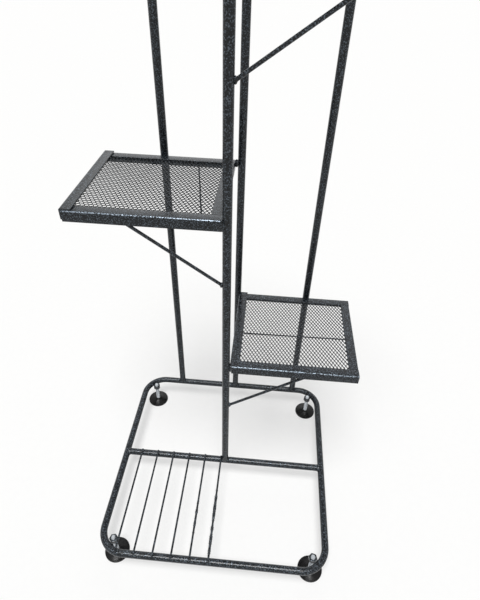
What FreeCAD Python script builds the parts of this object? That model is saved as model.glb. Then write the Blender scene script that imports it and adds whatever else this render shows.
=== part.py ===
import FreeCAD, Part
import math
import os

# Tiered plant stand, welded from steel tube, angle bar and expanded metal.
#
# A bent tube ring stands on four levelling feet. A cross tube halves the ring and
# carries the front post; three rear posts stand on the back of the ring. Four mesh
# shelves alternate right, left, right, left, each held between the front post and the
# rear posts and propped by a thin brace. Six wires make a low rack in the base's
# front left quarter.
#
# Millimetres. +X right, +Y to the back, +Z up. The origin is on the floor, in the middle
# of the front post.

os.makedirs("parts", exist_ok=True)

Vec = FreeCAD.Vector

# ---------------------------------------------------------------- driving dimensions

# Round tube of the ring, the cross tube and the posts.
tube_diameter = 16.0
tube_wall = 1.5

# Base ring, measured between tube centrelines.
base_width = 502.0
base_depth = 495.0
base_bend_radius = 55.0
base_bend_steps = 6
base_height = 60.0
base_shift = -5.0

# Rear posts, across from the front post's axis.
rear_post_left_x = -154.0
rear_post_centre_x = 4.0
rear_post_right_x = 173.0

# Weld metal: the gap it fills, and how far it spreads at a post's foot.
weld_gap = 0.3
weld_spread = 4.0
weld_height = 9.0

# Rack of wires in the base.
rack_wire_diameter = 4.0
rack_wire_count = 6
rack_wire_overrun = 4.0

# Shelves: the lowest one's top above the floor, and the rise from each to the next.
first_shelf_height = 424.0
shelf_rise = 342.0
shelf_width = 267.0
shelf_front_set = 6.5

# Rolled steel angle of the shelf frames.
angle_size = 20.0
angle_thickness = 3.0
angle_heel_radius = 2.5
angle_root_radius = 2.0
angle_lap_set = 2.0

# Expanded metal panel. Its diamonds are drawn four times as coarse as the real
# 7.5 by 12.5 mm ones.
mesh_thickness = 3.0
mesh_pitch_across = 30.0
mesh_pitch_along = 50.0
mesh_strand_width = 4.8
mesh_border = 2.0
mesh_fit_clearance = 0.5

# Rod that stiffens a panel from below. On a right shelf it runs across, and the two
# sets are its ends' distances from the front; on a left shelf it runs front to back, and
# they are the distances of its front and back ends from the side beside the post.
mesh_rod_diameter = 3.0
cross_rod_left_set = 111.0
cross_rod_right_set = 116.0
long_rod_front_set = 33.0
long_rod_back_set = 74.0

# Braces.
brace_diameter = 6.0
brace_drop = 140.0
brace_reach = 187.0

# Levelling feet: an M10 stud, its welded nut and a plastic pad.
stud_diameter = 10.0
stud_chamfer = 1.2
stud_above_nut = 5.0
stud_running_clearance = 0.08
nut_across_flats = 17.0
nut_height = 10.0
pad_diameter = 56.0
pad_rim_height = 4.0
pad_top_diameter = 19.0
pad_height = 11.0
pad_socket_floor = 6.0
pad_seat_clearance = 0.1

# Plastic plugs in the posts' open tops.
plug_head_height = 3.0
plug_head_bevel = 1.5
plug_spigot_length = 8.0
plug_spigot_clearance = 0.1

# ---------------------------------------------------------------- values worked out

tube_radius = tube_diameter / 2
bore_radius = tube_radius - tube_wall
rack_wire_radius = rack_wire_diameter / 2
brace_radius = brace_diameter / 2
mesh_rod_radius = mesh_rod_diameter / 2
stud_radius = stud_diameter / 2
side_x = base_width / 2
back_y = base_depth / 2

shelf_tops = [first_shelf_height + shelf_rise * step for step in range(4)]
shelf_front_y = -shelf_front_set
shelf_back_y = back_y - tube_radius - weld_gap
shelf_depth = shelf_back_y - shelf_front_y
shelf_side_x = tube_radius + weld_gap
nut_bottom = base_height - nut_height / 2
nut_top = base_height + nut_height / 2


# ---------------------------------------------------------------- helpers

def rod(radius, start, end):
    """A round bar of the given radius between two points."""
    along = end.sub(start)
    return Part.makeCylinder(radius, along.Length, start, along)


def tube(start, end):
    """A straight length of the stand's round tube, open at both ends."""
    return rod(tube_radius, start, end).cut(rod(bore_radius, start, end))


def revolved(points):
    """A solid turned about the Z axis from a closed outline of (radius, height) points."""
    corners = [Vec(radius, 0, height) for radius, height in points]
    outline = Part.makePolygon(corners + [corners[0]])
    return Part.Face(outline).revolve(Vec(0, 0, 0), Vec(0, 0, 1), 360)


def save(node, shape):
    """Write one sub-part and print what it holds."""
    if not shape.isValid():
        raise ValueError("invalid shape: " + node)
    shape.exportStep("parts/" + node + ".step")
    print(node, "solids", len(shape.Solids), "volume", round(shape.Volume))


# ---------------------------------------------------------------- base

def bend_section(radius, quarter, step):
    """The tube's round section at one step round a corner of the ring."""
    turn = 90 * (quarter + step / base_bend_steps)
    circle = Part.makeCircle(radius, Vec(base_bend_radius, 0, 0), Vec(0, 1, 0))
    circle.rotate(Vec(0, 0, 0), Vec(0, 0, 1), turn)
    sign_x = 1 if quarter in (0, 3) else -1
    sign_y = 1 if quarter in (0, 1) else -1
    x = base_shift + sign_x * (side_x - base_bend_radius)
    y = sign_y * (back_y - base_bend_radius)
    circle.translate(Vec(x, y, base_height))
    return Part.Wire([circle])


def ring_solid(radius):
    """The ring as a solid bar: straight from section to section, all the way round, so
    that each bend is a few short lengths and each side is a long one."""
    sections = []
    for quarter in range(4):
        for step in range(base_bend_steps + 1):
            sections.append(bend_section(radius, quarter, step))
    return Part.makeLoft(sections, True, True, True)


def base_ring():
    """The bent tube ring, hollow all the way round."""
    return ring_solid(tube_radius).cut(ring_solid(bore_radius))


def base_cross_tube():
    """The tube that halves the ring, coped to fit the ring's two sides."""
    left = Vec(base_shift - side_x, 0, base_height)
    right = Vec(base_shift + side_x, 0, base_height)
    cross = tube(left, right)
    for end in (left, right):
        side = rod(tube_radius + weld_gap, end - Vec(0, tube_diameter, 0), end + Vec(0, tube_diameter, 0))
        cross = cross.cut(side)
    return cross


def rack_wire_x(index):
    """Across position of a rack wire. Wire 0 lies beside the front post, and the wires
    and the ring's left tube are evenly spaced."""
    first = -(tube_radius + weld_gap + rack_wire_radius)
    left_tube = base_shift - side_x
    return first + (left_tube - first) * index / rack_wire_count


def rack_wire(index, clearance=0.0):
    """A wire laid over the front of the ring and the cross tube, or the room it needs."""
    x = rack_wire_x(index)
    z = base_height + tube_radius + weld_gap + rack_wire_radius
    front = Vec(x, -back_y - rack_wire_overrun - clearance, z)
    rear = Vec(x, rack_wire_overrun + clearance, z)
    return rod(rack_wire_radius + clearance, front, rear)


# ---------------------------------------------------------------- posts

def weld_flare(x, y):
    """The weld at a post's foot: a collar that widens onto the tube below, no wider than
    that tube."""
    tube_top = base_height + tube_radius
    flare = revolved([
        (bore_radius, base_height),
        (tube_radius + weld_spread, base_height),
        (tube_radius + weld_spread, tube_top),
        (tube_radius, tube_top + weld_height),
        (bore_radius, tube_top + weld_height),
    ])
    reach = 2 * (tube_radius + weld_spread)
    tall = tube_radius + weld_height
    strip = Part.makeBox(reach, tube_diameter, tall, Vec(-reach / 2, -tube_radius, base_height))
    flare = flare.common(strip)
    flare.translate(Vec(x, y, 0))
    return flare


def post(x, y, top):
    """A post from the tube below it up to the given height, with its weld."""
    upright = tube(Vec(x, y, base_height), Vec(x, y, top))
    upright = upright.fuse(weld_flare(x, y)).removeSplitter()
    reach = tube_radius + weld_spread + tube_diameter
    below = rod(tube_radius + weld_gap, Vec(x - reach, y, base_height), Vec(x + reach, y, base_height))
    return upright.cut(below)


def front_post():
    """The front post, its weld run round the rack wire beside it. Half the weld gap keeps
    the cut off the post's own tube."""
    return post(0, 0, shelf_tops[3]).cut(rack_wire(0, weld_gap / 2))


def post_plug(x, y, top):
    """The plug in a post's open top: a low head with a bevelled rim, over a spigot."""
    spigot_radius = bore_radius - plug_spigot_clearance
    plug = revolved([
        (0, -plug_spigot_length),
        (spigot_radius, -plug_spigot_length),
        (spigot_radius, 0),
        (tube_radius, 0),
        (tube_radius, plug_head_height - plug_head_bevel),
        (tube_radius - plug_head_bevel, plug_head_height),
        (0, plug_head_height),
    ])
    plug.translate(Vec(x, y, top))
    return plug


# ---------------------------------------------------------------- shelves

def angle_bar(length):
    """Steel angle along +X from x = 0. Its flange lies level below z = 0 and points to
    +Y; its leg hangs from y = 0. The heel outside and the root inside are rounded."""
    lean = 1 - math.sqrt(0.5)
    heel = angle_heel_radius
    inner = angle_thickness
    root = inner + angle_root_radius
    heel_middle = Vec(0, heel * lean, -heel * lean)
    root_middle = Vec(0, inner + angle_root_radius * lean, -inner - angle_root_radius * lean)
    edges = [
        Part.makeLine(Vec(0, heel, 0), Vec(0, angle_size, 0)),
        Part.makeLine(Vec(0, angle_size, 0), Vec(0, angle_size, -inner)),
        Part.makeLine(Vec(0, angle_size, -inner), Vec(0, root, -inner)),
        Part.Arc(Vec(0, root, -inner), root_middle, Vec(0, inner, -root)).toShape(),
        Part.makeLine(Vec(0, inner, -root), Vec(0, inner, -angle_size)),
        Part.makeLine(Vec(0, inner, -angle_size), Vec(0, 0, -angle_size)),
        Part.makeLine(Vec(0, 0, -angle_size), Vec(0, 0, -heel)),
        Part.Arc(Vec(0, 0, -heel), heel_middle, Vec(0, heel, 0)).toShape(),
    ]
    return Part.Face(Part.Wire(edges)).extrude(Vec(length, 0, 0))


def placed_bar(bar, turn, x, y, z):
    """Turn a bar about Z and move its start."""
    bar.rotate(Vec(0, 0, 0), Vec(0, 0, 1), turn)
    bar.translate(Vec(x, y, z))
    return bar


def left_bar():
    """The left bar, whose flange is lapped over the ends of the front and back bars."""
    bar = angle_bar(shelf_depth - angle_lap_set)
    return placed_bar(bar, -90, 0, shelf_depth, angle_thickness)


def front_bar():
    """The shelf's front bar, from the left bar's leg to the right end."""
    start = angle_thickness + weld_gap
    bar = placed_bar(angle_bar(shelf_width - start), 0, start, 0, 0)
    return bar.cut(left_bar())


def back_bar():
    """The shelf's back bar, the front bar's twin facing the other way."""
    length = shelf_width - angle_thickness - weld_gap
    bar = placed_bar(angle_bar(length), 180, shelf_width, shelf_depth, 0)
    return bar.cut(left_bar())


def right_bar():
    """The right bar, set level between the front and back bars and coped to fit them."""
    end = angle_thickness + weld_gap
    bar = placed_bar(angle_bar(shelf_depth - 2 * end), 90, shelf_width, end, 0)
    return bar.cut(front_bar()).cut(back_bar())


def diamond(x, y, half_across, half_along):
    """A closed diamond outline about a point, as a wire at z = 0."""
    corners = [
        Vec(x - half_across, y, 0),
        Vec(x, y - half_along, 0),
        Vec(x + half_across, y, 0),
        Vec(x, y + half_along, 0),
    ]
    return Part.makePolygon(corners + [corners[0]])


def mesh_panel():
    """The expanded metal: one plate with rows of diamonds, every second row shifted by
    half a pitch, so that straight strands of one width run between them."""
    inset = angle_thickness + angle_root_radius + mesh_fit_clearance
    width = shelf_width - 2 * inset
    depth = shelf_depth - 2 * inset
    count_across = int((width - 2 * mesh_border) / mesh_pitch_across)
    count_along = int((depth - 2 * mesh_border) / mesh_pitch_along)
    half_across = mesh_pitch_across / 2
    half_along = mesh_pitch_along / 2
    to_side = half_across * half_along / math.hypot(half_across, half_along)
    open_share = 1 - mesh_strand_width / 2 / to_side
    left = shelf_width / 2 - count_across * half_across
    front = shelf_depth / 2 - count_along * half_along
    outline = Part.makePlane(width, depth, Vec(inset, inset, 0)).OuterWire
    wires = [outline]
    for shift in (0, 1):
        for row in range(count_along - shift):
            for column in range(count_across - shift):
                x = left + half_across * (2 * column + 1 + shift)
                y = front + half_along * (2 * row + 1 + shift)
                wires.append(diamond(x, y, half_across * open_share, half_along * open_share))
    sheet = Part.makeFace(wires, "Part::FaceMakerBullseye")
    panel = sheet.extrude(Vec(0, 0, -mesh_thickness))
    panel.translate(Vec(0, 0, -angle_thickness))
    return panel


def mesh_rod_height():
    """Height of a stiffening rod's axis below the shelf's top."""
    return -(angle_thickness + mesh_thickness + weld_gap + mesh_rod_radius)


def cross_rod():
    """A right shelf's rod, side to side under the mesh."""
    left = angle_thickness + weld_gap
    z = mesh_rod_height()
    start = Vec(left, cross_rod_left_set, z)
    end = Vec(shelf_width - left, cross_rod_right_set, z)
    return rod(mesh_rod_radius, start, end)


def long_rod():
    """A left shelf's rod, front to back under the mesh."""
    front = angle_thickness + weld_gap + mesh_rod_radius
    z = mesh_rod_height()
    start = Vec(shelf_width - long_rod_front_set, front, z)
    end = Vec(shelf_width - long_rod_back_set, shelf_depth - front, z)
    return rod(mesh_rod_radius, start, end)


def brace(side, top):
    """The prop from the front post up behind the front bar's leg to the mesh. Side is 1
    for a right shelf and -1 for a left one."""
    end_z = top - angle_thickness - mesh_thickness - weld_gap
    foot = Vec(0, 0, top - brace_drop)
    head = Vec(side * brace_reach, 0, end_z)
    past = head + (head - foot).normalize() * brace_diameter
    bar = rod(brace_radius, foot, past)
    shaft = rod(tube_radius + weld_gap, Vec(0, 0, top - 2 * brace_drop), Vec(0, 0, top))
    slab = Part.makeBox(2 * brace_reach, tube_diameter, brace_diameter * 2)
    slab.translate(Vec(head.x - brace_reach, -tube_radius, end_z))
    return bar.cut(shaft).cut(slab)


# ---------------------------------------------------------------- levelling feet

def foot_spots():
    """Each foot's name and centre: inside the ring's corner, the nut against the bend,
    clear of the middles of the bend's short straight lengths."""
    half_step = math.radians(90 / base_bend_steps / 2)
    bend_inside = (base_bend_radius - tube_radius) * math.cos(half_step) - weld_gap
    half_flat = nut_across_flats / 2 / math.sqrt(3)
    from_bend = math.sqrt(bend_inside ** 2 - half_flat ** 2) - nut_across_flats / 2
    step = from_bend * math.sqrt(0.5)
    spots = []
    for along_name, sign_y in (("front", -1), ("back", 1)):
        for across_name, sign_x in (("left", -1), ("right", 1)):
            x = base_shift + sign_x * (side_x - base_bend_radius + step)
            y = sign_y * (back_y - base_bend_radius + step)
            spots.append((along_name + "_" + across_name, x, y, sign_x, sign_y))
    return spots


def foot_nut(x, y, sign_x, sign_y):
    """The hexagon nut welded into a corner, one flat towards the bend."""
    corner_radius = nut_across_flats / math.sqrt(3)
    corners = []
    for index in range(7):
        angle = math.radians(30 + 60 * index)
        corners.append(Vec(corner_radius * math.cos(angle), corner_radius * math.sin(angle), 0))
    hexagon = Part.Face(Part.makePolygon(corners)).extrude(Vec(0, 0, nut_height))
    hexagon.rotate(Vec(0, 0, 0), Vec(0, 0, 1), math.degrees(math.atan2(sign_y, sign_x)))
    hole = Part.makeCylinder(stud_radius + stud_running_clearance, nut_height)
    nut = hexagon.cut(hole)
    nut.translate(Vec(x, y, nut_bottom))
    return nut


def foot_stud(x, y):
    """The stud from the pad's socket up through the nut, its upper end chamfered."""
    low = pad_socket_floor + pad_seat_clearance
    high = nut_top + stud_above_nut
    stud = revolved([
        (0, low),
        (stud_radius, low),
        (stud_radius, high - stud_chamfer),
        (stud_radius - stud_chamfer, high),
        (0, high),
    ])
    stud.translate(Vec(x, y, 0))
    return stud


def foot_pad(x, y):
    """The plastic pad: a flat rim, and a cone that rises to the stud's socket."""
    radius = pad_diameter / 2
    socket_radius = stud_radius + stud_running_clearance
    pad = revolved([
        (0, 0),
        (radius, 0),
        (radius, pad_rim_height),
        (pad_top_diameter / 2, pad_height),
        (socket_radius, pad_height),
        (socket_radius, pad_socket_floor),
        (0, pad_socket_floor),
    ])
    pad.translate(Vec(x, y, 0))
    return pad


# ---------------------------------------------------------------- build

def save_base():
    """The ring, the cross tube and the rack wires."""
    save("base_ring", base_ring())
    save("base_cross_tube", base_cross_tube())
    for index in range(rack_wire_count):
        save("rack_wire_" + str(index + 1), rack_wire(index))


def save_posts():
    """The four posts, and their plugs as one group. The right rear post ends with the
    third shelf, the others with the fourth."""
    rear_posts = [
        ("left", rear_post_left_x, shelf_tops[3]),
        ("centre", rear_post_centre_x, shelf_tops[3]),
        ("right", rear_post_right_x, shelf_tops[2]),
    ]
    save("front_post", front_post())
    plugs = [post_plug(0, 0, shelf_tops[3])]
    for name, x, top in rear_posts:
        save("rear_post_" + name, post(x, back_y, top))
        plugs.append(post_plug(x, back_y, top))
    save("post_plugs", Part.makeCompound(plugs))


def save_shelf(number, top):
    """One shelf: four bars, the mesh, its rod and the brace."""
    side = 1 if number % 2 == 1 else -1
    left_edge = shelf_side_x if side == 1 else -shelf_side_x - shelf_width
    place = Vec(left_edge, shelf_front_y, top)
    pieces = {
        "front_bar": front_bar(),
        "back_bar": back_bar(),
        "left_bar": left_bar(),
        "right_bar": right_bar(),
        "mesh": mesh_panel(),
        "mesh_rod": cross_rod() if side == 1 else long_rod(),
    }
    prefix = "shelf_" + str(number) + "_"
    for name, shape in pieces.items():
        save(prefix + name, shape.translated(place))
    save(prefix + "brace", brace(side, top))


def save_feet():
    """The four levelling feet, with their nuts as one group."""
    nuts = []
    for name, x, y, sign_x, sign_y in foot_spots():
        nuts.append(foot_nut(x, y, sign_x, sign_y))
        save("foot_stud_" + name, foot_stud(x, y))
        save("foot_pad_" + name, foot_pad(x, y))
    save("foot_nuts", Part.makeCompound(nuts))


save_base()
save_posts()
for number, top in enumerate(shelf_tops, start=1):
    save_shelf(number, top)
save_feet()
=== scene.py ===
import logging
import math
from dataclasses import dataclass
from enum import Enum

import bpy
import numpy as np
from bpy.types import ID, Material, Node, NodeSocket, NodeTree, Object
from mathutils import Matrix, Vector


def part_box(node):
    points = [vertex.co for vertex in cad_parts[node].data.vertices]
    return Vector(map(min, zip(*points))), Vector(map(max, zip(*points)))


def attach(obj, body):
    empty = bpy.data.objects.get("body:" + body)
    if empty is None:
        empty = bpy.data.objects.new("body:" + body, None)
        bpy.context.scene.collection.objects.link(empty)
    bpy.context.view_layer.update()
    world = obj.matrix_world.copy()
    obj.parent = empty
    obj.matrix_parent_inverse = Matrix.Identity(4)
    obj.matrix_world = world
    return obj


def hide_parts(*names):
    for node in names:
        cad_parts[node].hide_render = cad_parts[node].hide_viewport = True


# A tiered plant stand of welded steel tube, angle bar and expanded metal, painted in
# black powder coat with silver veins, on four levelling feet.
#
# Shapes are worked out in millimetres, in the frame of the part: +X right, +Y to the
# back, +Z up, with the origin on the floor in the middle of the front post. They are
# turned to metres where a mesh is made.

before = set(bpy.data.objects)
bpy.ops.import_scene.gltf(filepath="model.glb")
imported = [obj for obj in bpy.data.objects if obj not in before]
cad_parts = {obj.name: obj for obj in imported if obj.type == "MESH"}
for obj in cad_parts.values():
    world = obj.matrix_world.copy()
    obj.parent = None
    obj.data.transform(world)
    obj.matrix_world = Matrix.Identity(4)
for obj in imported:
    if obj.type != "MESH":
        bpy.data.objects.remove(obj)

LOG = logging.getLogger("plant_stand")
MM = 0.001
TURN = 2 * math.pi
FRAME_BODY = "frame"
# The mesh attribute for the bars' heels: the coat's wear at the edge, and on the front bars a
# painted highlight as well.
THIN_COAT_AND_HIGHLIGHT = "thin_coat_and_highlight"
HEEL_STEPS = 4
BEAD_RIPPLE = 1.7
TUBE_SIDES = 40
# Edges that turn by more than this stay sharp.
SHARP_DEGREES = 38.0

Point = tuple[float, float, float]


# ---- sizes

@dataclass(frozen=True)
class TubeSizes:
    """Sizes that the stand's parts share, in millimetres. A rear post is its name, its
    place across, and the shelf that it goes up to, counted from 0."""
    tube_radius: float = 8.0
    base_height: float = 60.0
    base_shift: float = -5.0
    half_width: float = 251.0
    half_depth: float = 247.5
    weld_gap: float = 0.3
    shelf_tops: tuple[float, ...] = (424.0, 766.0, 1108.0, 1450.0)
    rear_posts: tuple[tuple[str, float, int], ...] = (
        ("left", -154.0, 3), ("centre", 4.0, 3), ("right", 173.0, 2))


SIZES = TubeSizes()


# ---- surfaces

@dataclass
class Surface:
    """Corners in millimetres, and faces as blocks of corner numbers, a block for each
    number of sides."""
    points: np.ndarray
    faces: list[np.ndarray]

    def outward(self) -> "Surface":
        """Turn the faces outwards, if the space they enclose comes out negative.

        Formula: six times the volume is the sum, over each face cut into triangles from
        its first corner, of a . (b x c).

        Returns:
            This surface, or the same with each face's corners in reverse order.
        """
        volume = 0.0
        for block in self.faces:
            first = self.points[block[:, 0]]
            for k in range(1, block.shape[1] - 1):
                cross = np.cross(self.points[block[:, k]], self.points[block[:, k + 1]])
                volume += float(np.einsum("ij,ij->", first, cross))
        if volume >= 0:
            return self
        return Surface(self.points, [block[:, ::-1] for block in self.faces])

    def moved(self, x: float, y: float, z: float) -> "Surface":
        """Return the surface moved by the three lengths."""
        return Surface(self.points + np.array([x, y, z]), self.faces)

    def laid(self) -> "Surface":
        """Return the surface laid down, so that what lay along Z, X and Y lies along X, Y
        and Z."""
        return Surface(self.points[:, [2, 0, 1]], self.faces)

    def turned(self, degrees: float) -> "Surface":
        """Return the surface turned about the Z axis through the origin."""
        angle = math.radians(degrees)
        c, s = math.cos(angle), math.sin(angle)
        spin = np.array([[c, s, 0.0], [-s, c, 0.0], [0.0, 0.0, 1.0]])
        return Surface(self.points @ spin, self.faces)


def join(surfaces: list[Surface]) -> Surface:
    """Put several surfaces into one.

    Args:
        surfaces: The surfaces, which keep their order.

    Returns:
        One surface with all the corners and faces.
    """
    faces: list[np.ndarray] = []
    start = 0
    for surface in surfaces:
        faces += [block + start for block in surface.faces]
        start += len(surface.points)
    return Surface(np.vstack([surface.points for surface in surfaces]), faces)


def skin(grid: np.ndarray, closed: bool = False) -> Surface:
    """Cover a grid of points with four-sided faces, closed round its columns.

    Formula: face (i, j) joins points (i, j), (i, j+1), (i+1, j+1) and (i+1, j), where
    the last column is followed by the first.

    Args:
        grid: Points of shape (rows, columns, 3), or (copies, rows, columns, 3).
        closed: True where the last row is followed by the first; otherwise the first and
            the last row are each closed by one face.

    Returns:
        The closed surface, its faces outwards.
    """
    if grid.ndim == 3:
        grid = grid[None]
    copies, rows, columns = grid.shape[:3]
    here = np.arange(copies * rows * columns).reshape(copies, rows, columns)
    beside = np.roll(here, -1, axis=2)
    if closed:
        ahead, opposite = np.roll(here, -1, axis=1), np.roll(beside, -1, axis=1)
        quads = np.stack([here, beside, opposite, ahead], axis=-1)
        return Surface(grid.reshape(-1, 3), [quads.reshape(-1, 4)]).outward()
    quads = np.stack([here[:, :-1], beside[:, :-1], beside[:, 1:], here[:, 1:]], axis=-1)
    ends = [here[:, 0, ::-1], here[:, -1]]
    return Surface(grid.reshape(-1, 3), [quads.reshape(-1, 4)] + ends).outward()


def unit(vectors: np.ndarray) -> np.ndarray:
    """Return vectors along the last axis, each divided by its length."""
    return vectors / np.linalg.norm(vectors, axis=-1, keepdims=True)


def points_at(*coordinates: np.ndarray | float) -> np.ndarray:
    """Return points from their coordinates, each stretched to the shape of them all."""
    return np.stack(np.broadcast_arrays(*coordinates), axis=-1)


def round_angles(sides: int) -> np.ndarray:
    """Return evenly spaced angles of one turn, in radians, without the last."""
    return np.arange(sides) * TURN / sides


def swept(path: np.ndarray, radius: np.ndarray | float, sides: int,
          closed: bool = False) -> Surface:
    """Carry a circle along a path.

    Formula: P(i, a) = path(i) + radius(i) (cos a . n(i) + sin a . b(i)), where t is the
    path's direction, n is the level direction square to t, and b is t x n.

    Args:
        path: Points of shape (rows, 3).
        radius: One radius, or one for each point of the path.
        sides: Number of points round the circle.
        closed: True where the path's last point is followed by its first.

    Returns:
        The closed surface.
    """
    if closed:
        along = unit(np.roll(path, -1, axis=0) - np.roll(path, 1, axis=0))
    else:
        along = unit(np.gradient(path, axis=0))
    upright = np.array([0.0, 0.0, 1.0]) if abs(along[0, 2]) < 0.9 else np.array([0.0, 1.0, 0.0])
    across = unit(np.cross(upright, along))
    third = np.cross(along, across)
    angle = round_angles(sides)[None, :, None]
    size = np.broadcast_to(np.asarray(radius, dtype=float), (len(path),))[:, None, None]
    grid = path[:, None] + size * (np.cos(angle) * across[:, None] + np.sin(angle) * third[:, None])
    return skin(grid, closed)


def turned_profile(profile: np.ndarray, sides: int) -> Surface:
    """Turn a profile about the Z axis.

    Formula: P(i, a) = (r(i) cos a, r(i) sin a, z(i)).

    Args:
        profile: Points (r, z) of shape (rows, 2), from one end on the axis to the other,
            whose first and last radius are small but not zero.
        sides: Number of points round the axis.

    Returns:
        The closed surface.
    """
    angle = round_angles(sides)
    radius, height = profile[:, 0, None], profile[:, 1, None]
    return skin(points_at(radius * np.cos(angle), radius * np.sin(angle), height))


def rounded(corners: list[Point]) -> np.ndarray:
    """Round the corners of an outline whose sides meet at right angles.

    Formula: at corner c, with unit vectors p and q to its neighbours and radius r, the
    arc is c + r (p + q) - r (cos t . q + sin t . p), for t from 0 to a quarter turn.

    Args:
        corners: Each corner as (x, y, radius), in order.

    Returns:
        The outline's points, HEEL_STEPS + 1 for each corner, of shape (points, 2).
    """
    place = np.array(corners)[:, :2]
    radius = np.array(corners)[:, 2][:, None, None]
    back = unit(np.roll(place, 1, axis=0) - place)[:, None]
    ahead = unit(np.roll(place, -1, axis=0) - place)[:, None]
    t = np.linspace(0, TURN / 4, HEEL_STEPS + 1)[None, :, None]
    arc = place[:, None] + radius * (back + ahead) - radius * (np.cos(t) * ahead + np.sin(t) * back)
    return arc.reshape(-1, 2)


def bar_along_x(outline: np.ndarray, start: float, end: float) -> Surface:
    """Carry an outline straight along X.

    Formula: P(i, j) = (x(i), outline(j)), with x going from start to end.

    Args:
        outline: Points (y, z).
        start: Where the bar starts.
        end: Where the bar ends.

    Returns:
        The closed surface.
    """
    return skin(points_at(np.array([start, end])[:, None], outline[:, 0], outline[:, 1]))


def bead(start: Point, end: Point, radius: float) -> Surface:
    """A straight weld bead, rippled along its length and rounded off at both ends.

    Formula: the radius at a share s of the length is radius . (1 - (2 s - 1)^8)^(1/2)
    . (1 + 0.12 sin(turns)), where one turn passes for each BEAD_RIPPLE.

    Args:
        start: The middle of one end.
        end: The middle of the other end.
        radius: The bead's radius.

    Returns:
        The closed surface.
    """
    first, last = np.array(start), np.array(end)
    length = float(np.linalg.norm(last - first))
    share = np.linspace(0.002, 0.998, max(12, int(length / BEAD_RIPPLE * 5)))
    waves = 1 + 0.12 * np.sin(share * length / BEAD_RIPPLE * TURN)
    size = radius * np.sqrt(1 - (2 * share - 1) ** 8) * waves
    return swept(first + share[:, None] * (last - first), size, 10)


def blob(centre: Point, size: Point, seed: float) -> Surface:
    """A lump of weld metal: an ellipsoid with low waves on it.

    Formula: P(u, v) = centre + size . w . (sin u cos v, sin u sin v, cos u), with
    w = 1 + 0.1 sin(3 v + seed) sin(2 u) + 0.06 sin(5 v - seed) sin(3 u).

    Args:
        centre: The lump's middle.
        size: Its half lengths along X, Y and Z.
        seed: An angle that makes each lump different.

    Returns:
        The closed surface.
    """
    u = np.linspace(0.04, math.pi - 0.04, 13)[:, None]
    v = round_angles(18)[None, :]
    wave = (1 + 0.1 * np.sin(3 * v + seed) * np.sin(2 * u)
            + 0.06 * np.sin(5 * v - seed) * np.sin(3 * u))
    ball = points_at(np.sin(u) * np.cos(v), np.sin(u) * np.sin(v), np.cos(u))
    return skin(np.array(centre) + ball * wave[..., None] * np.array(size))


def shaped_tube(foot: float, top: float, both: bool = False) -> Surface:
    """A tube along Z, shaped to the tube of the same size along X that it stands on.

    Formula: P(end, a) = (r cos a, r sin a, z), where a shaped end's z is the other
    tube's centre and sqrt(r^2 - (r sin a)^2) = |r cos a| towards the middle.

    Args:
        foot: The height of the lower tube's centre.
        top: The height of the flat top, or of the upper tube's centre.
        both: True where the top is shaped too.

    Returns:
        The closed surface.
    """
    angle = round_angles(TUBE_SIDES)
    across, back = SIZES.tube_radius * np.cos(angle), SIZES.tube_radius * np.sin(angle)
    ends = foot + np.abs(across), top - both * np.abs(across)
    return skin(np.stack([points_at(across, back, z) for z in ends]))


def tee_weld(leg: float, seed: float) -> Surface:
    """The concave weld where a tube stands up from another of the same size.

    The lower tube lies along X through the origin, the upper one stands along Z.

    Formula: at angle a round the upper tube, the weld runs from (r, h(r) + leg) to
    (r + e, h(r + e)), as a distance from the axis and a height, where h(d) =
    sqrt(r^2 - d^2 sin^2 a) is the lower tube's top and e is the leg, or less at the
    flanks, where the lower tube ends. Its face is a quadratic curve drawn in towards
    the corner, and its section closes inside the two walls.

    Args:
        leg: How far the weld spreads up and along.
        seed: An angle that makes each weld's ripple different.

    Returns:
        The closed surface.
    """
    angle = round_angles(72)[:, None]
    r = SIZES.tube_radius
    flank = np.maximum(np.abs(np.sin(angle)), 1e-6)
    ripple = 1 + 0.08 * np.sin(26 * angle + seed) + 0.08 * np.sin(3 * angle - seed)
    spread = np.minimum(leg * ripple, 0.96 * (r / flank - r)) + 0.02
    corner = np.sqrt(np.maximum(r ** 2 - (r * np.sin(angle)) ** 2, 0))
    far = np.sqrt(np.maximum(r ** 2 - ((r + spread) * np.sin(angle)) ** 2, 0))
    upper = np.concatenate([r + 0 * angle, corner + leg * ripple], axis=1)
    lower = np.concatenate([r + spread, far], axis=1)
    bend = np.concatenate([r + 0 * angle, corner], axis=1) * 0.65 + (upper + lower) * 0.175
    t = np.linspace(0, 1, 7)[None, :, None]
    face = (1 - t) ** 2 * upper[:, None] + 2 * t * (1 - t) * bend[:, None] + t ** 2 * lower[:, None]
    inside = np.concatenate([r - 0.8 + 0 * angle, corner - 0.8], axis=1)[:, None]
    section = np.concatenate([face, inside], axis=1)
    out, high = section[..., 0], section[..., 1]
    return skin(points_at(out * np.cos(angle), out * np.sin(angle), high), closed=True)


# ---- pieces

def add_object(name: str, data: ID) -> Object:
    """Put an object with this data in the scene, at the origin, and return it."""
    added = bpy.data.objects.new(name, data)
    bpy.context.scene.collection.objects.link(added)
    return added


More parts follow.
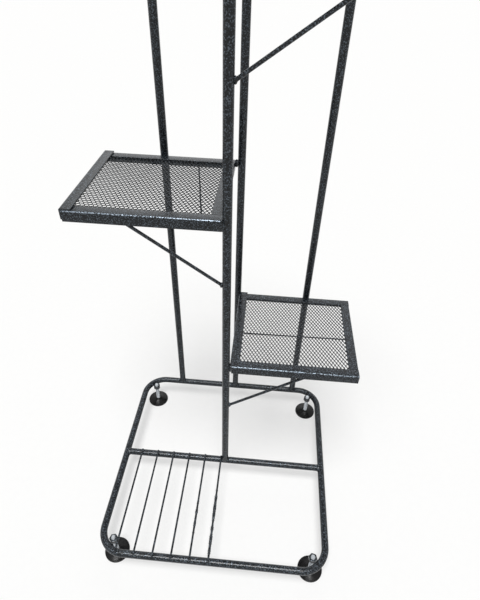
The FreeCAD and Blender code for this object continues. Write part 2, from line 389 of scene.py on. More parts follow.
def make_piece(name: str, surface: Surface, finish: Material, slot: str, *nodes: str,
               body: str = FRAME_BODY, thin_coat_and_highlight: np.ndarray | None = None) -> None:
    """Make one finished piece in metres, put it on its body, and hide the solids that it stands
    for.

    Args:
        name: The piece's name.
        surface: Its shape in millimetres.
        finish: Its material.
        slot: The record's slot that the finish belongs to; not used.
        *nodes: The solids that it stands for.
        body: The body that it moves with.
        thin_coat_and_highlight: For each corner, from 0 to 1, how far the coat has drawn back from
            an
        edge and shows its metal; on the front bars' heels it also paints a highlight.
    """
    mesh = bpy.data.meshes.new(name)
    corners = np.concatenate([block.ravel() for block in surface.faces]).astype(np.int32)
    sides = np.concatenate([np.full(len(block), block.shape[1]) for block in surface.faces])
    mesh.vertices.add(len(surface.points))
    mesh.vertices.foreach_set("co", (surface.points * MM).astype(np.float32).ravel())
    mesh.loops.add(len(corners))
    mesh.loops.foreach_set("vertex_index", corners)
    mesh.polygons.add(len(sides))
    mesh.polygons.foreach_set("loop_start", (np.cumsum(sides) - sides).astype(np.int32))
    mesh.polygons.foreach_set("use_smooth", np.ones(len(sides), dtype=bool))
    mesh.update(calc_edges=True)
    mesh.set_sharp_from_angle(angle=math.radians(SHARP_DEGREES))
    if thin_coat_and_highlight is not None:
        layer = mesh.attributes.new(THIN_COAT_AND_HIGHLIGHT, "FLOAT", "POINT")
        layer.data.foreach_set("value", thin_coat_and_highlight.astype(np.float32))
    mesh.materials.append(finish)
    piece = add_object(name, mesh)
    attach(piece, body)
    if nodes:
        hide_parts(*nodes)
    LOG.info("%s: %d faces on %s", name, len(sides), body)


# ---- finishes

def linear(code: str) -> tuple[float, float, float, float]:
    """Turn an sRGB hex colour to linear light.

    Args:
        code: Six hex digits after a hash sign.

    Returns:
        Red, green, blue and 1.
    """
    parts = [int(code[k:k + 2], 16) / 255 for k in (1, 3, 5)]
    red, green, blue = [p / 12.92 if p <= 0.04045 else ((p + 0.055) / 1.055) ** 2.4 for p in parts]
    return red, green, blue, 1.0


def add_node(tree: NodeTree, kind: str, inputs: dict[str | int, object] | None = None,
             **settings: object) -> Node:
    """Add a node with its settings and links.

    Args:
        tree: The tree that it goes into.
        kind: The node's type.
        inputs: For each input by name or number, a value, or what is linked to it: an
            output, or a node for its first output.
        **settings: The node's own properties.

    Returns:
        The node.
    """
    node = tree.nodes.new(kind)
    for key, value in settings.items():
        setattr(node, key, value)
    for key, value in (inputs or {}).items():
        if isinstance(value, Node):
            value = value.outputs[0]
        if isinstance(value, NodeSocket):
            tree.links.new(value, node.inputs[key])
        else:
            node.inputs[key].default_value = value
    return node


def new_finish(name: str) -> tuple[Material, NodeTree, NodeSocket]:
    """Start a material.

    Args:
        name: The finish's name.

    Returns:
        The material, its empty tree, and the piece's own coordinates in metres.
    """
    material = bpy.data.materials.new(name)
    material.use_nodes = True
    tree = material.node_tree
    tree.nodes.clear()
    place = add_node(tree, "ShaderNodeTexCoord")
    return material, tree, place.outputs["Object"]


def close_finish(material: Material, shader: Node) -> Material:
    """Link a shader to the material's output, and return the material."""
    add_node(material.node_tree, "ShaderNodeOutputMaterial", {"Surface": shader})
    return material


def seen_or_mirrored(tree: NodeTree) -> Node:
    """Add nodes that tell seen and mirrored rays from those that only carry light.

    Args:
        tree: The tree that they go into.

    Returns:
        The last node, which gives 1 for camera, glossy and transmission rays, else 0.
    """
    ray = add_node(tree, "ShaderNodeLightPath")
    seen = add_node(tree, "ShaderNodeMath", {
        0: ray.outputs["Is Camera Ray"], 1: ray.outputs["Is Glossy Ray"],
    }, operation="MAXIMUM")
    return add_node(tree, "ShaderNodeMath", {0: seen, 1: ray.outputs["Is Transmission Ray"]},
                    operation="MAXIMUM")


@dataclass(frozen=True)
class SilverVeinPowderCoat:
    """Black polyester powder with a silver vein, sprayed and oven cured.

    The cured coat pulls up into fine cells, near-black with flecks of bare metallic
    pigment between them, so a highlight on it breaks up into bright grains while the
    rest stays dark.
    """
    name: str = "silver_vein_powder_coat"
    ground: str = "#02060a"
    haze: str = "#080a0c"
    fleck: str = "#848f9a"
    # The real grain is about 1.5 mm, too fine to show; it is drawn this coarse.
    grain_mm: float = 2.3
    cells_per_grain: float = 0.8
    ridge_width: float = 0.14
    ridge_share: float = 0.12
    # How much more fleck shows at a marked heel: worn coat there, and on the front bars a painted
    # highlight.
    wear_and_highlight_lift: float = 0.10
    fleck_start: float = 0.49
    fleck_full: float = 0.66
    fleck_share: float = 0.46
    edge_wear_and_highlight_share: float = 0.40
    roughness: float = 0.16
    fleck_dulling: float = 0.12
    specular: float = 0.28
    bump_mm: float = 0.09

    def build(self) -> Material:
        """Make the material.

        Returns:
            Flecks from one noise, and faint ridges between cells, that set the colour,
            the shine, the metal and the height together. A thin coat at a worn edge shows more of
            them, and so does the painted highlight on the front bars' heels.
        """
        material, tree, place = new_finish(self.name)
        per_metre = 1000 / self.grain_mm
        grain = add_node(tree, "ShaderNodeTexNoise", {
            "Vector": place, "Scale": per_metre, "Detail": 2.0, "Roughness": 0.55,
        })
        cells = add_node(tree, "ShaderNodeTexVoronoi", {
            "Vector": place, "Scale": per_metre * self.cells_per_grain,
        }, feature="DISTANCE_TO_EDGE")
        ridge = add_node(tree, "ShaderNodeMapRange", {
            0: cells.outputs["Distance"], 2: self.ridge_width, 3: 1.0, 4: 0.0,
        }, interpolation_type="SMOOTHSTEP")
        # Worn coat at the bars' heels, and on the front bars a painted highlight, read from the
        # mesh attribute.
        edge_wear_and_highlight = add_node(tree, "ShaderNodeAttribute", attribute_name=THIN_COAT_AND_HIGHLIGHT).outputs["Fac"]
        raised = add_node(tree, "ShaderNodeMath", {0: edge_wear_and_highlight, 1: self.wear_and_highlight_lift, 2: grain},
                          operation="MULTIPLY_ADD")
        peak = add_node(tree, "ShaderNodeMapRange", {
            0: raised, 1: self.fleck_start, 2: self.fleck_full,
        }, interpolation_type="SMOOTHSTEP")
        both = add_node(tree, "ShaderNodeMath", {0: ridge, 1: self.ridge_share, 2: peak},
                        operation="MULTIPLY_ADD", use_clamp=True)
        share = add_node(tree, "ShaderNodeMath", {
            0: edge_wear_and_highlight, 1: self.edge_wear_and_highlight_share, 2: self.fleck_share,
        }, operation="MULTIPLY_ADD")
        amount = add_node(tree, "ShaderNodeMath", {0: both, 1: share}, operation="MULTIPLY")
        dark = add_node(tree, "ShaderNodeMix", {
            0: grain, 6: linear(self.ground), 7: linear(self.haze),
        }, data_type="RGBA")
        colour = add_node(tree, "ShaderNodeMix", {
            0: amount, 6: dark.outputs[2], 7: linear(self.fleck),
        }, data_type="RGBA")
        shine = add_node(tree, "ShaderNodeMapRange", {
            0: both, 3: self.roughness, 4: self.roughness + self.fleck_dulling,
        })
        height = add_node(tree, "ShaderNodeBump", {"Height": both, "Distance": self.bump_mm * MM})
        shader = add_node(tree, "ShaderNodeBsdfPrincipled", {
            "Base Color": colour.outputs[2], "Roughness": shine, "Metallic": amount,
            "Normal": height, "Specular IOR Level": self.specular,
        })
        return close_finish(material, shader)


@dataclass(frozen=True)
class ZincPlate:
    """Bright zinc electroplate on a rolled steel thread: pale, faintly blue, a little
    dulled by handling."""
    name: str = "bright_zinc_plate"
    bright: str = "#c9cdd1"
    dull: str = "#9aa0a5"
    grain_mm: float = 2.0
    roughness: tuple[float, float] = (0.2, 0.38)
    pit_mm: float = 0.02

    def build(self) -> Material:
        """Make the material: a metal whose colour and shine drift together."""
        material, tree, place = new_finish(self.name)
        drift = add_node(tree, "ShaderNodeTexNoise", {
            "Vector": place, "Scale": 1000 / self.grain_mm, "Detail": 4.0,
        })
        colour = add_node(tree, "ShaderNodeMix", {
            0: drift, 6: linear(self.bright), 7: linear(self.dull),
        }, data_type="RGBA")
        shine = add_node(tree, "ShaderNodeMapRange", {
            0: drift, 1: 0.3, 2: 0.7, 3: self.roughness[0], 4: self.roughness[1],
        })
        pits = add_node(tree, "ShaderNodeBump", {
            "Height": drift, "Strength": 0.4, "Distance": self.pit_mm * MM,
        })
        shader = add_node(tree, "ShaderNodeBsdfPrincipled", {
            "Base Color": colour.outputs[2], "Roughness": shine, "Metallic": 1.0, "Normal": pits,
        })
        return close_finish(material, shader)


@dataclass(frozen=True)
class MouldedPolyethylene:
    """Black polyethylene, injection moulded in a lightly sparked mould: soft sheen, a
    fine grain, and paler scuffs where it rubs the floor."""
    name: str = "moulded_black_polyethylene"
    body: str = "#050506"
    scuff: str = "#101213"
    grain_mm: float = 0.8
    scuff_mm: float = 14.0
    roughness: tuple[float, float] = (0.26, 0.45)
    refraction: float = 1.51
    specular: float = 0.22
    bump_mm: float = 0.02

    def build(self) -> Material:
        """Make the material: fine noise for the grain, broad noise for the scuffs."""
        material, tree, place = new_finish(self.name)
        grain, wear = (add_node(tree, "ShaderNodeTexNoise", {
            "Vector": place, "Scale": 1000 / size, "Detail": detail,
        }) for size, detail in ((self.grain_mm, 2.0), (self.scuff_mm, 5.0)))
        worn = add_node(tree, "ShaderNodeMapRange", {0: wear, 1: 0.5, 2: 0.72},
                        interpolation_type="SMOOTHSTEP")
        colour = add_node(tree, "ShaderNodeMix", {
            0: worn, 6: linear(self.body), 7: linear(self.scuff),
        }, data_type="RGBA")
        shine = add_node(tree, "ShaderNodeMapRange", {
            0: worn, 3: self.roughness[0], 4: self.roughness[1],
        })
        relief = add_node(tree, "ShaderNodeBump", {
            "Height": grain, "Strength": 0.3, "Distance": self.bump_mm * MM,
        })
        shader = add_node(tree, "ShaderNodeBsdfPrincipled", {
            "Base Color": colour.outputs[2], "Roughness": shine, "Normal": relief,
            "IOR": self.refraction, "Specular IOR Level": self.specular,
        })
        return close_finish(material, shader)


@dataclass(frozen=True)
class PaperFloor:
    """Matt white background paper. The camera, and anything glossy, sees it as an evenly
    lit sheet, and it keeps the stand's shadow."""
    name: str = "white_background_paper"
    sheet: str = "#b4b4b3"
    fibre: str = "#b8b8b7"
    fibres_per_metre: float = 60.0
    lift: float = 0.52

    def build(self) -> Material:
        """Make the material: matt paper, with a plain lift for seen and mirrored rays."""
        material, tree, place = new_finish(self.name)
        fibres = add_node(tree, "ShaderNodeTexNoise", {
            "Vector": place, "Scale": self.fibres_per_metre, "Detail": 3.0,
        })
        colour = add_node(tree, "ShaderNodeMix", {
            0: fibres, 6: linear(self.sheet), 7: linear(self.fibre),
        }, data_type="RGBA")
        paper = add_node(tree, "ShaderNodeBsdfDiffuse", {"Color": colour.outputs[2]})
        power = add_node(tree, "ShaderNodeMath", {0: seen_or_mirrored(tree), 1: self.lift},
                         operation="MULTIPLY")
        glow = add_node(tree, "ShaderNodeEmission", {"Strength": power})
        return close_finish(material, add_node(tree, "ShaderNodeAddShader", {0: paper, 1: glow}))


@dataclass(frozen=True)
class Finishes:
    """The stand's materials, built once."""
    coat: Material
    zinc: Material
    plastic: Material
    paper: Material

    @staticmethod
    def build() -> "Finishes":
        """Build each finish and return them together."""
        return Finishes(SilverVeinPowderCoat().build(), ZincPlate().build(),
                        MouldedPolyethylene().build(), PaperFloor().build())


# ---- base

@dataclass
class BaseFrame:
    """The bent ring, the tube that halves it, and the rack of six wires."""
    finishes: Finishes
    bend_radius: float = 55.0
    bend_steps: int = 24
    wire_radius: float = 2.0
    wire_paint: float = 0.3
    wire_chamfer: float = 0.6
    wire_steps: int = 260
    wire_count: int = 6
    wire_overrun: float = 4.0
    weld_leg: float = 3.2
    # Clots of paint: (wire, where they start and end along Y, how far they stand out).
    clots: tuple[tuple[int, float, float, float], ...] = (
        (0, -244.0, -88.0, 1.1), (1, -196.0, -118.0, 0.8))
    # Swellings of paint on the wires: (wire, place along Y, added radius, half length).
    drips: tuple[tuple[int, float, float, float], ...] = (
        (0, -150.0, 1.3, 6.0), (0, -133.0, 1.6, 7.0), (0, -112.0, 1.0, 8.0), (0, -182.0, 0.9, 5.0),
        (0, -205.0, 1.2, 9.0), (0, -226.0, 0.8, 6.0), (1, -147.0, 0.9, 4.0), (1, -172.0, 0.7, 4.0),
    )

    def ring_path(self) -> np.ndarray:
        """The ring's centreline.

        Formula: corner (sx, sy) is an arc about (shift + sx (w - R), sy (d - R)) of
        radius R over a quarter turn; a side joins the end of one arc to the next.

        Returns:
            Points of shape (rows, 3), once round without the last.
        """
        quarter = np.arange(4)[:, None]
        turn = (quarter + np.linspace(0, 1, self.bend_steps + 1)) * TURN / 4
        sign_x = np.array([1.0, -1.0, -1.0, 1.0])[:, None]
        sign_y = np.array([1.0, 1.0, -1.0, -1.0])[:, None]
        x = SIZES.base_shift + sign_x * (SIZES.half_width - self.bend_radius)
        y = sign_y * (SIZES.half_depth - self.bend_radius)
        x = x + self.bend_radius * np.cos(turn)
        y = y + self.bend_radius * np.sin(turn)
        return points_at(x, y, SIZES.base_height).reshape(-1, 3)

    def wire_x(self, index: int) -> float:
        """Return a wire's place across: evenly spaced from the post to the ring."""
        first = -(SIZES.tube_radius + SIZES.weld_gap + self.wire_radius)
        left_tube = SIZES.base_shift - SIZES.half_width
        return first + (left_tube - first) * index / self.wire_count

    def wire(self, index: int) -> Surface:
        """A wire over the ring's front and the cross tube, with its drips of paint.

        Formula: radius(y) = r + paint + sum of added . exp(-((y - place) / half
        length)^2), and where clots lie, their height . sin(0.61 y)^2 sin(0.173 y + 1)^2
        more, with each end drawn in by its chamfer.

        Args:
            index: The wire's number from the post.

        Returns:
            The closed surface.
        """
        z = SIZES.base_height + SIZES.tube_radius + SIZES.weld_gap + self.wire_radius
        front, rear = -SIZES.half_depth - self.wire_overrun, self.wire_overrun
        inner = np.linspace(front + self.wire_chamfer, rear - self.wire_chamfer, self.wire_steps)
        y = np.concatenate([[front], inner, [rear]])
        radius = np.full_like(y, self.wire_radius + self.wire_paint)
        for number, start, end, high in self.clots:
            if number == index:
                lumps = high * (np.sin(0.61 * y) * np.sin(0.173 * y + 1.0)) ** 2
                radius = radius + np.where((y > start) & (y < end), lumps, 0.0)
        for number, place, added, half in self.drips:
            if number == index:
                radius = radius + added * np.exp(-((y - place) / half) ** 2)
        radius[[0, -1]] -= self.wire_chamfer + self.wire_paint
        return swept(points_at(self.wire_x(index), y, z), radius, 14)

    def joint_welds(self) -> Surface:
        """The two fillets where the cross tube meets the ring, and a dab of weld each
        side of a wire where it lies on a tube."""
        ring_side, height = SIZES.half_width, SIZES.base_height
        parts = []
        for sign in (-1.0, 1.0):
            weld = tee_weld(self.weld_leg, 1.0 + sign)
            # The weld's lower tube lies along Y here and its upper one points inwards.
            along, up, inwards = weld.points.T
            turned = points_at(SIZES.base_shift + sign * (ring_side - inwards), along, height + up)
            parts.append(Surface(turned, weld.faces).outward())
        top = height + SIZES.tube_radius
        for index in range(self.wire_count):
            for y in (-SIZES.half_depth, 0.0):
                spot_y = y + 0.6 * math.sin(7.0 * index + y)
                for side in (-1.0, 1.0):
                    spot = (self.wire_x(index) + side * self.wire_radius, spot_y, top + 0.5)
                    parts.append(blob(spot, (1.5, 3.0, 1.2), index + side))
        return join(parts)

    def build(self) -> None:
        """Make the ring, the cross tube, the wires and their welds."""
        coat = self.finishes.coat
        ring = swept(self.ring_path(), SIZES.tube_radius, TUBE_SIDES, closed=True)
        make_piece("bent_ring", ring, coat, "frame_coat", "base_ring")
        left, right = (SIZES.base_shift + side * SIZES.half_width for side in (-1, 1))
        tube = shaped_tube(left, right, both=True).laid().moved(0, 0, SIZES.base_height)
        make_piece("halving_tube", tube, coat, "frame_coat", "base_cross_tube")
        for index in range(self.wire_count):
            number = index + 1
            make_piece(f"rack_bar_{number}", self.wire(index), coat, "frame_coat",
                       f"rack_wire_{number}")
        make_piece("base_welds", self.joint_welds(), coat, "frame_coat")


# ---- posts

@dataclass
class Posts:
    """The front post and the three rear posts, with their welds and plugs."""
    finishes: Finishes
    plug_height: float = 3.0
    plug_bevel: float = 1.5
    weld_leg: float = 4.0

    def plug(self, x: float, y: float, top: float) -> Surface:
        """The plug in a post's open top: a low crowned head with a rounded rim."""
        r, b = SIZES.tube_radius, self.plug_bevel
        arc = np.linspace(0, TURN / 4, 7)
        rim = points_at(r - b + b * np.cos(arc), self.plug_height - b + b * np.sin(arc) * 0.8)
        crown = np.array([[r * 0.45, self.plug_height - 0.12], [0.05, self.plug_height]])
        foot = np.array([[0.05, 0.02], [r, 0.02]])
        return turned_profile(np.concatenate([foot, rim, crown]), 36).moved(x, y, top)

    def build(self) -> None:
        """Make the posts, the welds at their feet and the plugs."""
        coat = self.finishes.coat
        tops = SIZES.shelf_tops
        spots = [("front_post", "upright_front", 0.0, 0.0, tops[3])]
        spots += [(f"rear_post_{name}", f"upright_{name}", x, SIZES.half_depth, tops[last])
                  for name, x, last in SIZES.rear_posts]
        welds, plugs = [], []
        for node, name, x, y, top in spots:
            post = shaped_tube(SIZES.base_height, top).moved(x, y, 0)
            make_piece(name, post, coat, "frame_coat", node)
            welds.append(tee_weld(self.weld_leg, x).moved(x, y, SIZES.base_height))
            plugs.append(self.plug(x, y, top))
        make_piece("upright_welds", join(welds), coat, "frame_coat")
        make_piece("upright_plugs", join(plugs), self.finishes.plastic, "black_plastic",
                   "post_plugs")


# ---- shelves

class Side(Enum):
    """Which side of the front post a shelf is on."""
    RIGHT = 1
    LEFT = -1


@dataclass
class Shelf:
    """One mesh shelf: four angle bars, expanded metal, the rod below it and the brace."""
    finishes: Finishes
    number: int
    side: Side
    top: float
    width: float = 267.0
    depth: float = 245.7
    front_set: float = 6.5
    angle_size: float = 20.0
    angle_thickness: float = 3.0
    heel_radius: float = 2.5
    root_radius: float = 2.0
    toe_radius: float = 0.7
    lap_set: float = 2.0
    panel_inset: float = 5.5
    panel_height: float = 3.0
    strand_pitch: float = 3.75
    strand_width: float = 1.75
    strand_thickness: float = 0.9
    diamond_length: float = 12.5
    bond_length: float = 2.6
    rod_radius: float = 1.5
    # Where the rod's ends lie: back from the front of a right shelf, or in from the right
    # side of a left one; and how far they stop short of the edges that they run to.
    rod_back: tuple[float, float] = (111.0, 116.0)
    rod_in: tuple[float, float] = (33.0, 74.0)
    rod_short: tuple[float, float] = (3.3, 4.8)
    brace_radius: float = 3.0
    brace_drop: float = 140.0
    brace_reach: float = 187.0
    # The front bar's heel is drawn brightest: its wear, plus a painted highlight where the light
    # falls on it.
    front_wear_and_highlight: float = 1.0
    other_wear: float = 0.3
    bead_radius: float = 1.8
    back_bead_radius: float = 1.5

    def underside(self) -> float:
        """Return how far below the shelf's top the underside of its panel lies."""
        return self.angle_thickness + self.panel_height + SIZES.weld_gap

    def angle_outline(self, tongue_top: float | None = None) -> np.ndarray:
        """The angle bar's section as (y, z): a level flange to +Y and a leg down.

        Args:
            tongue_top: For a tongue of leg alone, the height at which it starts.

        Returns:
            The points of the rounded outline.
        """
        size, thick, toe = self.angle_size, self.angle_thickness, self.toe_radius
        low = [(thick, -size, toe), (0, -size, toe)]
        if tongue_top is not None:
            return rounded([(0, tongue_top, 0.05), (thick, tongue_top, 0.05)] + low)
        return rounded([(0, 0, self.heel_radius), (size, 0, toe), (size, -thick, toe),
                        (thick, -thick, self.root_radius)] + low)

    def bars(self) -> dict[str, Surface]:
        """The four bars in the shelf's own place: the left one lapped over the front and
        back ones, and the right one let in between them on a tongue of its leg."""
        gap = SIZES.weld_gap
        whole = self.angle_outline()
        start = self.angle_thickness + gap
        reach = self.width - start
        front = bar_along_x(whole, 0, reach).moved(start, 0, 0)
        back = bar_along_x(whole, 0, reach).turned(180).moved(self.width, self.depth, 0)
        left = bar_along_x(whole, 0, self.depth - self.lap_set).turned(-90)
        left = left.moved(0, self.depth, self.angle_thickness)
        step = self.angle_size + gap
        # The tongue stays a hair's breadth off the bar's own faces.
        hair = 0.02
        tongue = self.angle_outline(-self.angle_thickness - 0.05)
        right = join([
            bar_along_x(whole, step, self.depth - step),
            bar_along_x(tongue, start, step - hair),
            bar_along_x(tongue, self.depth - step + hair, self.depth - start),
        ]).turned(90).moved(self.width, 0, 0)
        return {"front": front, "back": back, "left": left, "right": right}

    def heel_wear_and_highlight(self, name: str, count: int) -> np.ndarray:
        """How thin the coat is at each corner of a bar: full on the rounded heel and
        nothing elsewhere, most on the front bar, as wear and a painted highlight where the light
        falls on its heel.

        Args:
            name: The bar's name.
            count: How many corners the bar has.

        Returns:
            One number for each corner.
        """
        outline = self.angle_outline()
        wear = np.zeros(len(outline))
        # Wear on every heel; the front bar's larger share adds a painted highlight.
        wear[1:HEEL_STEPS] = self.front_wear_and_highlight if name == "front" else self.other_wear
        return np.resize(wear, count) * (np.arange(count) < 2 * len(outline))

    def panel(self) -> Surface:
        """The expanded metal: strands along Y, each bent from side to side and joined
        to one neighbour after the other.

        Formula: P(i, k, c) = (x(i), y(k), 0) + s(i, k) d/2 . n + corner(c), where s is
        +1 or -1 and changes at each half diamond and from strand to strand, u = (cos q,
        0, sin q) lies across a strand and n = (sin q, 0, -cos q) square to it, with
        cos q = width / pitch, so that joined strands lie side by side, and d is the
        square root of pitch^2 - width^2.

        Returns:
            The closed surface of all the strands.
        """
        pitch, wide, thick = self.strand_pitch, self.strand_width, self.strand_thickness
        shift = math.sqrt(pitch ** 2 - wide ** 2)
        across = np.array([wide / pitch, 0.0, shift / pitch])
        square = np.array([shift / pitch, 0.0, -wide / pitch])
        margin = (shift / 2 + thick / 2) * square[0] + wide / 2 * across[0]
        span = self.width - 2 * self.panel_inset - 2 * margin
        count = int(span / pitch) + 1
        x = self.width / 2 + (np.arange(count) - (count - 1) / 2) * pitch
        half = self.diamond_length / 2
        length = self.depth - 2 * self.panel_inset
        turns = int((length - self.bond_length) / half) + 1
        middle = self.depth / 2 + (np.arange(turns) - (turns - 1) / 2) * half
        y = (middle[:, None] + np.array([-0.5, 0.5]) * self.bond_length).ravel()
        sign = (np.repeat((-1.0) ** np.arange(turns), 2)[None, :]
                * ((-1.0) ** np.arange(count))[:, None])
        corner = np.array([[1, 1], [-1, 1], [-1, -1], [1, -1]]) * np.array([wide / 2, thick / 2])
        corner = corner[:, :1] * across + corner[:, 1:] * square
        line = np.zeros((count, len(y), 1, 3))
        line[..., 0] = x[:, None, None]
        line[..., 1] = y[None, :, None]
        line = line + sign[..., None, None] * shift / 2 * square
        height = -self.angle_thickness - self.panel_height / 2
        return skin(line + corner).moved(0, 0, height)

    def rod(self) -> Surface:
        """The rod under the panel: across a right shelf, and front to back and slanting
        under a left one."""
        z = -(self.underside() + self.rod_radius)
        beside, behind = self.rod_short
        if self.side is Side.RIGHT:
            x, y = (beside, self.width - beside), self.rod_back
        else:
            x, y = self.width - np.array(self.rod_in), (behind, self.depth - behind)
        first, last = points_at(x, y, z)
        share = np.linspace(0, 1, 30)[:, None]
        return swept(first + share * (last - first), self.rod_radius, 14)

    def brace(self) -> Surface:
        """The prop from the front post up to the panel, cut level at its head.

        Formula: P(end, a) = foot + s d + r (cos a . n + sin a . b), where s at the head
        is such that the point's height is the panel's underside.

        Returns:
            The closed surface, in the stand's place.
        """
        r = self.brace_radius
        sign = float(self.side.value)
        head_z = self.top - self.underside()
        foot = np.array([0.0, 0.0, self.top - self.brace_drop])
        head = np.array([sign * self.brace_reach, 0.0, head_z])
        along = unit(head - foot)
        level = np.array([0.0, 1.0, 0.0])
        third = np.cross(along, level)
        angle = round_angles(24)[:, None]
        ring = r * (np.cos(angle) * level + np.sin(angle) * third)
        low = foot + along * (SIZES.tube_radius - 1.0) / abs(along[0]) + ring
        high = foot + ring + ((head_z - foot[2] - ring[:, 2:]) / along[2]) * along
        return skin(np.stack([low, high]))

    def welds(self) -> Surface:
        """The shelf's welds: beads and lumps at the posts, and a lump at each end of the
        brace."""
        sign = float(self.side.value)
        post = SIZES.tube_radius
        left = self.side is Side.LEFT
        # Beads down the line where the shelf's side bar meets the front post.
        leg_top = self.top + (0.0 if left else self.angle_thickness)
        x = sign * (post + 0.1)
        parts = [bead((x, y, leg_top - 19.0), (x, y, leg_top - 2.0), self.bead_radius)
                 for y in (-2.6, 2.6)]
        if left:
            parts.append(blob((-post - 1.5, -5.6, self.top - 9.5), (6.4, 4.6, 9.6), 0.4))
        # Beads where the back bar lies against the rear posts.
        y = SIZES.half_depth - post + 0.4
        high, low = self.top - 2.5, self.top - 18.0
        for _, across, last in SIZES.rear_posts:
            if 0 < sign * across < self.width + post and SIZES.shelf_tops[last] >= self.top - 1:
                for x in (across - 3.0, across + 3.0):
                    parts.append(bead((x, y, low), (x, y, high), self.back_bead_radius))
        if left:
            # A lump that bridges from the back corner to the centre rear post.
            spot = (-post + 2.0, SIZES.half_depth - post + 1.0, self.top - 8.5)
            parts.append(blob(spot, (4.6, 4.0, 8.0), 2.1))
        slope = (self.brace_drop - self.underside()) / self.brace_reach
        foot_z = self.top - self.brace_drop + slope * (post + 1.0)
        parts.append(blob((sign * (post + 1.0), 0.0, foot_z), (3.4, 4.2, 5.4), self.top))
        head = (sign * (self.brace_reach - 3.0), 0.0, self.top - 9.2)
        parts.append(blob(head, (6.0, 3.7, 2.9), self.top + 1.0))
        return join(parts)

    def build(self) -> None:
        """Make the shelf's pieces and put them in the stand's place."""
        gap = SIZES.tube_radius + SIZES.weld_gap
        x = gap if self.side is Side.RIGHT else -gap - self.width
        node = f"shelf_{self.number}_"
        tier = f"tier_{self.number}_"
        coat = self.finishes.coat
        for name, bar in self.bars().items():
            make_piece(f"{tier}angle_{name}", bar.moved(x, -self.front_set, self.top), coat,
                       "shelf_coat", f"{node}{name}_bar",
                       thin_coat_and_highlight=self.heel_wear_and_highlight(name, len(bar.points)))
        panel = self.panel().moved(x, -self.front_set, self.top)
        make_piece(f"{tier}expanded_metal", panel, coat, "mesh_coat", f"{node}mesh")
        rod = self.rod().moved(x, -self.front_set, self.top)
        make_piece(f"{tier}stay_rod", rod, coat, "shelf_coat", f"{node}mesh_rod")
        make_piece(f"{tier}prop", self.brace(), coat, "shelf_coat", f"{node}brace")
        make_piece(f"{tier}welds", self.welds(), coat, "shelf_coat")


# ---- feet

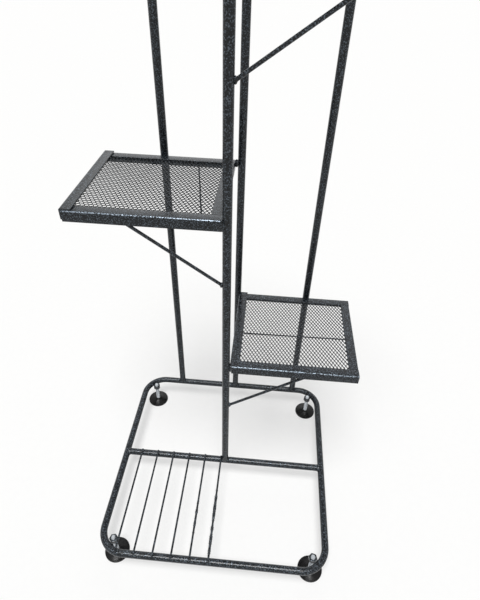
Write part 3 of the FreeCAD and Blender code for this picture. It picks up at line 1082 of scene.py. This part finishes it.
@dataclass
class LevellingFeet:
    """Four screw feet: a nut welded into each corner, a threaded stud and its pad."""
    finishes: Finishes
    corners: tuple[str, ...] = ("front_left", "front_right", "back_left", "back_right")
    nut_flats: float = 17.0
    nut_bottom: float = 55.0
    nut_top: float = 65.0
    nut_face_share: float = 0.48
    nut_chamfer: float = 0.7
    stud_radius: float = 5.0
    stud_bottom: float = 6.1
    stud_top: float = 70.0
    thread_pitch: float = 1.5
    thread_depth: float = 0.9
    thread_play: float = 0.08
    pad_radius: float = 28.0
    pad_rim: float = 4.0
    pad_round: float = 1.2
    pad_top_radius: float = 9.5
    pad_height: float = 11.0

    def centre(self, corner: str) -> tuple[float, float]:
        """Return a foot's place, the middle of its pad's solid."""
        low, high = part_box(f"foot_pad_{corner}")
        return (low[0] + high[0]) / 2 / MM, (low[1] + high[1]) / 2 / MM

    def nut(self, degrees: float) -> Surface:
        """A hexagon nut with its corners chamfered off above and below.

        Formula: at angle a the outline is f(a) = s / 2 / cos(a mod 60 - 30), and the
        rim drops by tan 30 for each millimetre that f(a) passes the face's share of s.

        Args:
            degrees: The way that one flat faces.

        Returns:
            The closed surface with its bore.
        """
        angle = round_angles(72)
        flat = self.nut_flats / 2 / np.cos((angle + TURN / 12) % (TURN / 6) - TURN / 12)
        face = self.nut_face_share * self.nut_flats
        drop = np.maximum(flat - face, 0) * math.tan(math.radians(30))
        bore = self.stud_radius + self.thread_play
        low, high, cut = self.nut_bottom, self.nut_top, self.nut_chamfer
        profile = [(bore, low + cut), (bore + cut, low), (face, low), (flat, low + drop),
                   (flat, high - drop), (face, high), (bore + cut, high), (bore, high - cut)]
        rows = [points_at(r * np.cos(angle), r * np.sin(angle), z) for r, z in profile]
        return skin(np.stack(rows), closed=True).turned(degrees)

    def stud(self) -> Surface:
        """A stud with a rolled thread and a chamfered end.

        Formula: r(a, z) = r0 - depth . w, where w goes evenly from 0 at the crest to 1
        at the root and back as z / pitch - a / turn passes from one whole number to the
        next; the radius is held under a cone at both ends.

        Returns:
            The closed surface.
        """
        rows = int((self.stud_top - self.stud_bottom) / self.thread_pitch * 6)
        z = np.linspace(self.stud_bottom, self.stud_top, rows)[:, None]
        angle = round_angles(24)[None, :]
        wave = np.abs(((z / self.thread_pitch - angle / TURN) % 1.0) * 2 - 1)
        end = np.minimum(z - self.stud_bottom, self.stud_top - z)
        radius = self.stud_radius + np.minimum(-self.thread_depth * wave, end - 1.4)
        return skin(points_at(radius * np.cos(angle), radius * np.sin(angle), z))

    def pad(self) -> Surface:
        """The pad: a rounded rim, a slightly hollow cone and a collar round the stud."""
        r, t, h = self.pad_radius, self.pad_top_radius, self.pad_height
        rim_z, b = self.pad_rim, self.pad_round
        arc = np.linspace(0, TURN / 4, 6)
        foot = points_at(r - 1.0 + np.sin(arc), 1.0 - np.cos(arc))
        rim = points_at(r - b + b * np.cos(arc), rim_z - b + b * np.sin(arc))
        share = np.linspace(0.08, 1, 9)
        cone = points_at(r - b + share * (t - r + b), rim_z + (h - 1.6 - rim_z) * share ** 1.35)
        socket, end = self.stud_radius + self.thread_play, self.stud_bottom - 0.1
        collar = np.array([[t, h - 0.7], [t - 0.5, h], [self.stud_radius + 0.6, h],
                           [socket, h - 0.6], [socket, end], [0.05, end]])
        under = np.array([[0.05, 1.2], [r - 5.0, 1.2], [r - 4.4, 0.0]])
        return turned_profile(np.concatenate([under, foot, rim, cone, collar]), 64)

    def build(self) -> None:
        """Make the nuts, and each foot's stud and pad on their own bodies."""
        nuts = []
        for corner in self.corners:
            x, y = self.centre(corner)
            towards = math.degrees(math.atan2(y, x - SIZES.base_shift))
            # A flat faces along the diagonal of the corner's quarter.
            nuts.append(self.nut(90.0 * math.floor(towards / 90.0) + 45.0).moved(x, y, 0))
            make_piece(f"screw_{corner}", self.stud().moved(x, y, 0), self.finishes.zinc,
                       "stud_zinc", f"foot_stud_{corner}", body=f"foot_stud_{corner}")
            make_piece(f"pad_{corner}", self.pad().moved(x, y, 0), self.finishes.plastic,
                       "black_plastic", f"foot_pad_{corner}", body=f"foot_pad_{corner}")
        make_piece("corner_nuts", join(nuts), self.finishes.coat, "frame_coat", "foot_nuts")


# ---- studio

def facing(right: np.ndarray, up: np.ndarray, back: np.ndarray, place: np.ndarray) -> Matrix:
    """Return the matrix of an object with these axes at this place in metres."""
    return Matrix(np.column_stack([right, up, back, place]).tolist() + [[0, 0, 0, 1]])


@dataclass
class Studio:
    """The camera, the lamps, the surroundings and the floor."""
    finishes: Finishes
    camera_mm: Point = (63.8, -642.1, 1138.1)
    heading: float = -3.49
    dip: float = 39.87
    roll: float = 1.94
    lens: float = 27.49
    sensor: float = 36.0
    clip: float = 100.0
    # The floor's side is in metres, as the clip is.
    floor_size: float = 60.0
    fill: float = 0.16

    def camera(self) -> None:
        """Set the camera by its place and three angles.

        Formula: with heading p, dip q and roll s, it looks along (sin p cos q, cos p
        cos q, -sin q), and its right and up are the level right and the matching up,
        turned by s.
        """
        p, q, s = (math.radians(v) for v in (self.heading, self.dip, self.roll))
        ahead = np.array([math.sin(p) * math.cos(q), math.cos(p) * math.cos(q), -math.sin(q)])
        level = np.array([math.cos(p), -math.sin(p), 0.0])
        above = np.cross(level, ahead)
        right = math.cos(s) * level + math.sin(s) * above
        up = -math.sin(s) * level + math.cos(s) * above
        data = bpy.data.cameras.new("view")
        data.lens = self.lens
        data.sensor_width = self.sensor
        data.clip_end = self.clip
        camera = add_object("view", data)
        camera.matrix_world = facing(right, up, -ahead, np.array(self.camera_mm) * MM)
        bpy.context.scene.camera = camera

    def lamp(self, name: str, towards: Point, spread_degrees: float, power: float) -> None:
        """Add a distant soft lamp, which lights all of the floor alike.

        Args:
            name: The lamp's name.
            towards: The way from the stand to the lamp.
            spread_degrees: How wide it looks from the stand.
            power: Its light on a surface that faces it.
        """
        data = bpy.data.lights.new(name, "SUN")
        data.angle = math.radians(spread_degrees)
        data.energy = power
        back = unit(np.array(towards))
        side = unit(np.cross(np.array([0.0, 1.0, 0.0]), back))
        add_object(name, data).matrix_world = facing(side, np.cross(back, side), back, np.zeros(3))

    def surroundings(self) -> None:
        """Even fill light from all round, seen and mirrored as white, as the floor is."""
        world = bpy.data.worlds.new("studio")
        world.use_nodes = True
        tree = world.node_tree
        tree.nodes.clear()
        level = add_node(tree, "ShaderNodeMapRange", {0: seen_or_mirrored(tree), 3: self.fill})
        light = add_node(tree, "ShaderNodeBackground", {
            "Color": (1.0, 1.0, 1.0, 1.0), "Strength": level,
        })
        add_node(tree, "ShaderNodeOutputWorld", {"Surface": light})
        bpy.context.scene.world = world

    def floor(self) -> None:
        """Lay the sheet of paper under the stand."""
        half = self.floor_size / 2
        mesh = bpy.data.meshes.new("paper_sheet")
        corners = [(-half, -half, 0), (half, -half, 0), (half, half, 0), (-half, half, 0)]
        mesh.from_pydata(corners, [], [(0, 1, 2, 3)])
        mesh.materials.append(self.finishes.paper)
        sheet = add_object("paper_sheet", mesh)

    def build(self) -> None:
        """Set up the camera, the floor, the lamps and the plain view settings."""
        self.camera()
        self.floor()
        self.surroundings()
        self.lamp("overhead", (-0.06, -0.28, 1.0), 25.0, 2.6)
        self.lamp("rear", (0.0, 0.84, 0.54), 45.0, 0.3)
        bpy.context.scene.view_settings.view_transform = "Standard"


def main() -> None:
    """Build the stand and the studio."""
    logging.basicConfig(level=logging.INFO, format="%(name)s %(message)s")
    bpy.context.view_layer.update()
    finishes = Finishes.build()
    BaseFrame(finishes).build()
    Posts(finishes).build()
    for index, top in enumerate(SIZES.shelf_tops):
        side = Side.RIGHT if index % 2 == 0 else Side.LEFT
        Shelf(finishes, index + 1, side, top).build()
    LevellingFeet(finishes).build()
    Studio(finishes).build()


if __name__ == "__main__":
    main()
